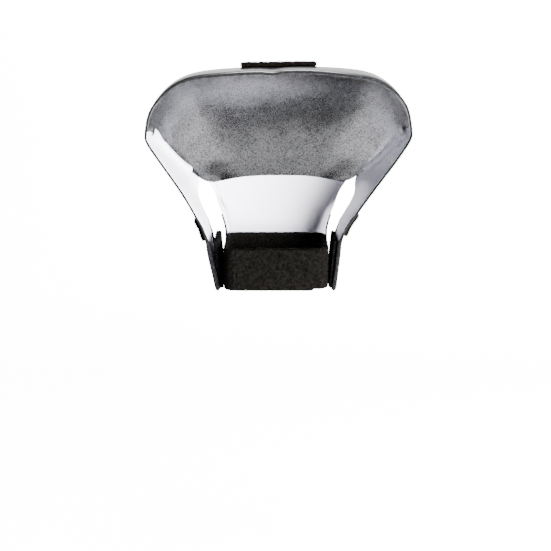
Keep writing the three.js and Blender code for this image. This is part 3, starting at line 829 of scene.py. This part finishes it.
lining = silver_lining()
mount(lining, "insert", "silver_vinyl", "silver_insert")
strips = {}
for side, name in SIDES:
    strips[name] = strip(side, name)
    mount(strips[name], "reflector", "white_vinyl", name + "_retaining_strip")

# ---- fuzzy pads and webbing


def axis_steps(half, radius, cell):
    """Grid lines along one axis of a box: close together on its rounded edges and even between them."""
    edge = [radius * k for k in (0, 0.18, 0.42, 0.7, 1)]
    count = max(int((2 * half - 2 * radius) / cell), 1)
    middle = list(np.linspace(-half + radius, half - radius, count + 1)[1:-1])
    return np.array([-half + e for e in edge] + middle + [half - e for e in edge[::-1]])


def rounded_box(size, radius, cell):
    """Points, outward normals and quads of a box of that size, its edges rounded, centred on the origin."""
    halves = np.array(size) / 2
    steps = [axis_steps(h, min(radius, h * 0.98), cell) for h in halves]
    points, quads, first = [], [], 0
    for axis in range(3):
        a, b = (axis + 1) % 3, (axis + 2) % 3
        for sign in (-1, 1):
            grid = np.zeros((len(steps[a]), len(steps[b]), 3))
            grid[..., a], grid[..., b] = np.meshgrid(steps[a], steps[b], indexing="ij")
            grid[..., axis] = sign * halves[axis]
            face = grid_quads(len(steps[a]), len(steps[b]), first)
            quads.append(face[:, ::-1] if sign < 0 else face)
            points.append(grid.reshape(-1, 3))
            first += grid.shape[0] * grid.shape[1]
    points, quads = np.concatenate(points), np.concatenate(quads)
    kept, quads = weld_points(points, quads)
    points = points[kept]
    core = np.clip(points, -(halves - radius), halves - radius)
    core = np.where(halves - radius > 0, core, 0)
    normal = unit(points - core)
    return core + normal * radius, normal, quads


def fibre_roots(points, normals, quads, density, rng, keep):
    """Random roots on the faces, about that many on each square millimetre, with the normals there."""
    a, b, c, d = (points[quads[:, k]] for k in range(4))
    area = 0.5 * np.linalg.norm(np.cross(c - a, d - b), axis=1) * keep(a)
    count = int(area.sum() * density)
    pick = rng.choice(len(quads), count, p=area / area.sum())
    u, v = rng.random((2, count, 1))
    root = lerp(lerp(a[pick], b[pick], u), lerp(d[pick], c[pick], u), v)
    return root, normals[quads[pick, 0]]


def fibres(root, normal, length, radius, rng):
    """Short bent hairs, each a closed three-sided cone; returns points and faces."""
    count = len(root)
    first = unit(normal + 0.8 * rng.normal(size=(count, 3)))
    second = unit(first + 1.1 * rng.normal(size=(count, 3)) + 0.1 * normal)
    reach = length * rng.uniform(0.5, 1.2, (count, 1))
    side = unit(np.cross(first, rng.normal(size=(count, 3))))
    third = np.cross(first, side)
    rings = []
    for base, thick in ((root - first * 0.25, 1.0), (root + first * reach, 0.75)):
        for k in range(3):
            turn = 2 * math.pi * k / 3
            rings.append(base + radius * thick * (side * math.cos(turn) + third * math.sin(turn)))
    rings.append(root + first * reach + second * reach * 0.8)
    points = np.stack(rings, 1).reshape(-1, 3)
    pattern = [(2, 1, 0), (0, 1, 4, 3), (1, 2, 5, 4), (2, 0, 3, 5), (3, 4, 6), (4, 5, 6), (5, 3, 6)]
    faces = [tuple(7 * i + k for k in face) for i in range(count) for face in pattern]
    return points, faces


HAIR_RADIUS, QUICK_SHARE = 0.045, 0.35


def soft_slab(name, size, place, material, seed, density, radius=0.8, cell=0.9, nap=0.16, length=0.5,
              keep=lambda p: np.ones(len(p))):
    """A fuzzy padded slab: a rounded box with a napped surface and hairs, carried to its place in millimetres."""
    rng = np.random.default_rng(seed)
    points, normals, quads = rounded_box(size, radius, cell)
    coarse = waves(points, 3.2, seed, 2)
    bumpy = points + normals * (nap * (0.7 * coarse + 0.5 * rng.normal(size=len(points))) - nap)[:, None]
    root, upright = fibre_roots(bumpy, normals, quads, density * (1), rng, keep)
    hairs, hair_faces = fibres(root, upright, length, HAIR_RADIUS, rng)
    verts = np.concatenate([bumpy, hairs])
    faces = [tuple(q) for q in quads] + [tuple(i + len(bumpy) for i in f) for f in hair_faces]
    return make_object(name, place(verts), faces, material, 180)


def path_place(corners):
    """Carries a straight slab round a path in the horizontal plane: x runs along it, y is the outward side."""
    dense = []
    for kind, *values in corners:
        if kind == "line":
            (x0, y0), (x1, y1) = values
            steps = max(int(math.hypot(x1 - x0, y1 - y0) / 0.8), 1)
            dense += [(lerp(x0, x1, k / steps), lerp(y0, y1, k / steps)) for k in range(steps + 1)]
        else:
            (cx, cy), radius, start, end = values
            steps = max(int(abs(end - start) * radius / 0.5), 4)
            angles = [lerp(start, end, k / steps) for k in range(steps + 1)]
            dense += [(cx + radius * math.cos(t), cy + radius * math.sin(t)) for t in angles]
    line = np.array([p for i, p in enumerate(dense) if i == 0 or math.dist(p, dense[i - 1]) > 0.05])
    arc = arc_length(line)
    tangent = unit(np.gradient(line, arc, axis=0))

    def place(points):
        where = points[:, 0] + arc[-1] / 2
        inside = np.clip(where, 0, arc[-1])
        at = np.stack([np.interp(inside, arc, line[:, k]) for k in (0, 1)], -1)
        along_it = np.stack([np.interp(inside, arc, tangent[:, k]) for k in (0, 1)], -1)
        outward = np.stack([along_it[:, 1], -along_it[:, 0]], -1)
        flat = at + along_it * (where - inside)[:, None] + outward * points[:, 1:2]
        return np.concatenate([flat, points[:, 2:3]], 1)

    return place, arc[-1]


def moved_by(x, y, z):
    return lambda points: points + np.array([x, y, z])


BAND_START, BAND_END = -32.8, -29.92
TAIL_MIDDLE_Y, TAIL_START, TAIL_END = -31.6, -30.6, 28.0
STRAP_MIDDLE_Z = -STRAP_HEIGHT / 2
STRAP_DENSITY = 3.2


def band_path():
    """Middle line of the band: from its cut end behind the tail, to the right, round the back and out to the front."""
    x, y = SOCKET_X - SOCKET_CORNER, SOCKET_Y - SOCKET_CORNER
    radius = SOCKET_CORNER + STRAP_THICK / 2
    quarter = math.pi / 2
    step = TAIL_MIDDLE_Y + radius
    return path_place([
        ("line", (BAND_START, -y - radius), (x, -y - radius)),
        ("arc", (x, -y), radius, -quarter, 0),
        ("line", (x + radius, -y), (x + radius, y)),
        ("arc", (x, y), radius, 0, quarter),
        ("line", (x, y + radius), (-x, y + radius)),
        ("arc", (-x, y), radius, quarter, 2 * quarter),
        ("line", (-x - radius, y), (-x - radius, step)),
        ("arc", (-x, step), radius, 2 * quarter, 3 * quarter),
        ("line", (-x, TAIL_MIDDLE_Y), (BAND_END, TAIL_MIDDLE_Y)),
    ])


place_band, band_length = band_path()
band = soft_slab("strap_webbing", (band_length, WEBBING_THICK, STRAP_HEIGHT),
                 lambda p: place_band(p) + np.array([0, 0, STRAP_MIDDLE_Z]), LOOP, 1, STRAP_DENSITY,
                 keep=lambda p: (p[:, 1] > -0.9) * 1.0)
mount(band, "strap", "loop_webbing", "strap_band")


def place_tail(points):
    """The tail lies flat over the band's start, its cut end pressed down a little."""
    moved = points + np.array([(TAIL_START + TAIL_END) / 2, TAIL_MIDDLE_Y, STRAP_MIDDLE_Z])
    end = smooth(moved[:, 0], TAIL_END - 3, TAIL_END)
    moved[:, 1] += 0.35 * end * (points[:, 1] < 0)
    return moved


tail = soft_slab("strap_tail_webbing", (TAIL_END - TAIL_START, WEBBING_THICK, STRAP_HEIGHT), place_tail, LOOP, 2,
                 STRAP_DENSITY)
mount(tail, "strap_end", "loop_webbing", "strap_tail")
hook_patch = soft_slab("strap_hook_patch_tape", (25.6, 1.1, 27.6), moved_by(14.0, -29.2, STRAP_MIDDLE_Z), HOOK, 3, 1.6,
                       radius=0.3, nap=0.05, length=0.25)
mount(hook_patch, "strap_end", "hook_tape", "strap_hook_patch")

HOOK_PAD_SIZE, HOOK_PAD_MIDDLE_Z, HOOK_PAD_FACE = (37.8, 2.9, 37.6), -34.2 + 19.0, 1.8
HOOK_PAD_EXTRA_AND_SHADOW = {"left": 1.5, "right": 0.3}  # the left pad is drawn 1.5 mm thicker and the right 0.3 mm: partly the pads' own thickness, partly painted shadow, the black tape widened over the shade beside it
OUTER_PAD_SIZE, OUTER_PAD_STRETCH = (29.8, 1.9, 17.8), 1.7
OUTER_PAD_Z = {"left": 12.5, "right": 16.5}
TOP_PAD_SIZE, TOP_PAD_ANGLE, TOP_PAD_TURN = (51.6, 2.7, 27.6), 81.0, 9.0
SKIN_OUTSIDE = 1.9
ARM_PAD_RISE, TOP_PAD_RISE = 1.9, 1.5


def on_side_tab(side, inward):
    """Carries a pad standing in the x-z plane, its back at y = 0, to the inside of a side tab."""
    tilt = math.atan(TAB_SLOPE)

    def place(points):
        inwards, up = points[:, 1] + inward, points[:, 2] + HOOK_PAD_MIDDLE_Z
        x = side * (SIDE_TAB_X + up * math.sin(tilt) - inwards * math.cos(tilt))
        z = up * math.cos(tilt) + inwards * math.sin(tilt)
        return np.stack([x, side * points[:, 0], z], -1)

    return place


def on_arm(side, height):
    """Carries a flat pad, y outward, to the outside of an arm above the flex line."""
    def place(points):
        z = points[:, 2] + height
        middle = (arm_front_y(z) + arm_back_y(z)) / 2
        base, normal = face_and_normal(*side_direction(middle + points[:, 0], z))
        out = stray(base) + SKIN_OUTSIDE + ARM_PAD_RISE + OUTER_PAD_STRETCH * points[:, 1]
        return relax((base + normal * out[:, None]) * np.array([side, 1, 1]))

    return place


def on_top(points):
    """Carries a flat pad, y outward, to the outside of the hood's top; z runs forward."""
    angle = np.radians(TOP_PAD_ANGLE + points[:, 2] / 13.9 * TOP_PAD_TURN)
    base, normal = face_and_normal(np.arctan2(points[:, 0], HOOD_RADIUS), angle)
    return relax(base + normal * (stray(base) + SKIN_OUTSIDE + TOP_PAD_RISE + points[:, 1])[:, None])


pads = []
for side, name in SIDES:
    pad_and_shadow_extra = HOOK_PAD_EXTRA_AND_SHADOW[name]
    # the extra thickness widens the black hook pad over the shade next to it: painted shadow, partly real thickness
    pad = soft_slab(name + "_hook_pad_tape", (HOOK_PAD_SIZE[0], HOOK_PAD_SIZE[1] + pad_and_shadow_extra, HOOK_PAD_SIZE[2]),
                    on_side_tab(side, HOOK_PAD_FACE - pad_and_shadow_extra / 2), HOOK, 10 + side, 2.2, radius=1.1)
    mount(pad, name + "_flap", "hook_tape", name + "_hook_pad")
    pads.append(pad)
on_back_tab = moved_by(0, BACK_TAB_Y - LAYER_GAP - 1.15, -16.6)
pad = soft_slab("back_hook_pad_tape", (56.6, 2.2, 31.6), on_back_tab, HOOK, 12, 1.0, cell=1.0)
mount(pad, "back_flap", "hook_tape", "back_hook_pad")
pads.append(pad)
for side, name in SIDES:
    pad = soft_slab(name + "_outer_loop_pad", OUTER_PAD_SIZE, on_arm(side, OUTER_PAD_Z[name]), PAD, 20 + side, 4,
                    radius=0.7, cell=0.8, nap=0.1)
    mount(pad, "reflector", "loop_pad", name + "_outer_pad")
    pads.append(pad)
pad = soft_slab("top_loop_pad", TOP_PAD_SIZE, on_top, PAD, 30, 5, radius=0.9, cell=0.8, nap=0.2, length=0.75)
mount(pad, "reflector", "loop_pad", "top_pad")
for pad in pads + [pad]:
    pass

# ---- floor, backdrop and light

FLOOR_Z = -0.2386
PAPER_GLOW, PAPER_HALF_WIDTH = 14.0, 0.62


def paper_material(name, color, glow):
    return Nodes(name, Roughness=0.9, Base_Color=color, Emission_Color=color, Emission_Strength=glow).material


def stage_strip(name, profile, half_width, material):
    """A sheet of paper as wide as 2 * half_width that follows (y, z) points, in metres."""
    verts = [(x / MM, y / MM, (FLOOR_Z + z) / MM) for y, z in profile for x in (-half_width, half_width)]
    return make_object(name, verts, grid_quads(len(profile), 2), material)


def backdrop_profile():
    """The backdrop curves up from the floor behind the object."""
    bend = [(0.35 + 0.5 * math.sin(t), 0.5 - 0.5 * math.cos(t)) for t in np.linspace(0, math.pi / 2, 24)]
    return bend + [(0.85, 0.9)]


def area_light(name, position, target, size, power):
    """A rectangular light, its size in metres and its power in watts."""
    data = bpy.data.lights.new(name, "AREA")
    data.shape, data.size, data.size_y = "RECTANGLE", size[0], size[1]
    data.energy = power
    obj = bpy.data.objects.new(name, data)
    obj.location = position
    obj.rotation_euler = (Vector(target) - Vector(position)).to_track_quat("-Z", "Y").to_euler()
    bpy.context.scene.collection.objects.link(obj)
    return obj


WHITE_PAPER, GREY_PAPER = rgb(0.9, 0.9, 0.9), rgb(0.22, 0.22, 0.22)
papers = [
    stage_strip("floor", [(-0.12, 0.0), (0.35, 0.0)], PAPER_HALF_WIDTH,
                paper_material("floor_paper", WHITE_PAPER, PAPER_GLOW)),
    stage_strip("backdrop", backdrop_profile(), PAPER_HALF_WIDTH,
                paper_material("backdrop_paper", WHITE_PAPER, PAPER_GLOW)),
    stage_strip("front_floor", [(-1.6, 0.0), (-0.12, 0.0)], 1.4, paper_material("front_paper", GREY_PAPER, 0.0)),
]
key = area_light("key", (0.74, -0.82, 0.05), (0, -0.03, 0.05), (0.7, 0.5), 205)
cards = [
    area_light("glint_left", (-0.33, 0.0, -0.22), (-0.33, 0.001, 1.0), (0.5, 0.9), 4.4),
    area_light("glint_right", (0.33, 0.0, -0.22), (0.33, 0.001, 1.0), (0.5, 0.9), 5.0),
    area_light("front_card", (0, -0.95, -0.22), (0, -0.94, 1.0), (1.2, 0.9), 4.2),
    area_light("back_card", (0, 0.8, 0.35), (0, 0, 0.2), (1.8, 1.0), 12),
]
overhead = area_light("overhead", (0.05, 0.0, 1.0), (0, 0, 0), (0.5, 0.35), 16)

# the papers are only a background, and the cards stand in for a white room in the reflections
for paper in papers:
    paper.visible_diffuse = paper.visible_glossy = False
for card in cards:
    card.visible_diffuse = card.visible_camera = False
key.visible_glossy = False

world = bpy.data.worlds.new("studio")
world.use_nodes = True
background = world.node_tree.nodes["Background"]
background.inputs["Color"].default_value = rgb(0.94, 0.94, 1.0)
background.inputs["Strength"].default_value = 0.06
bpy.context.scene.world = world
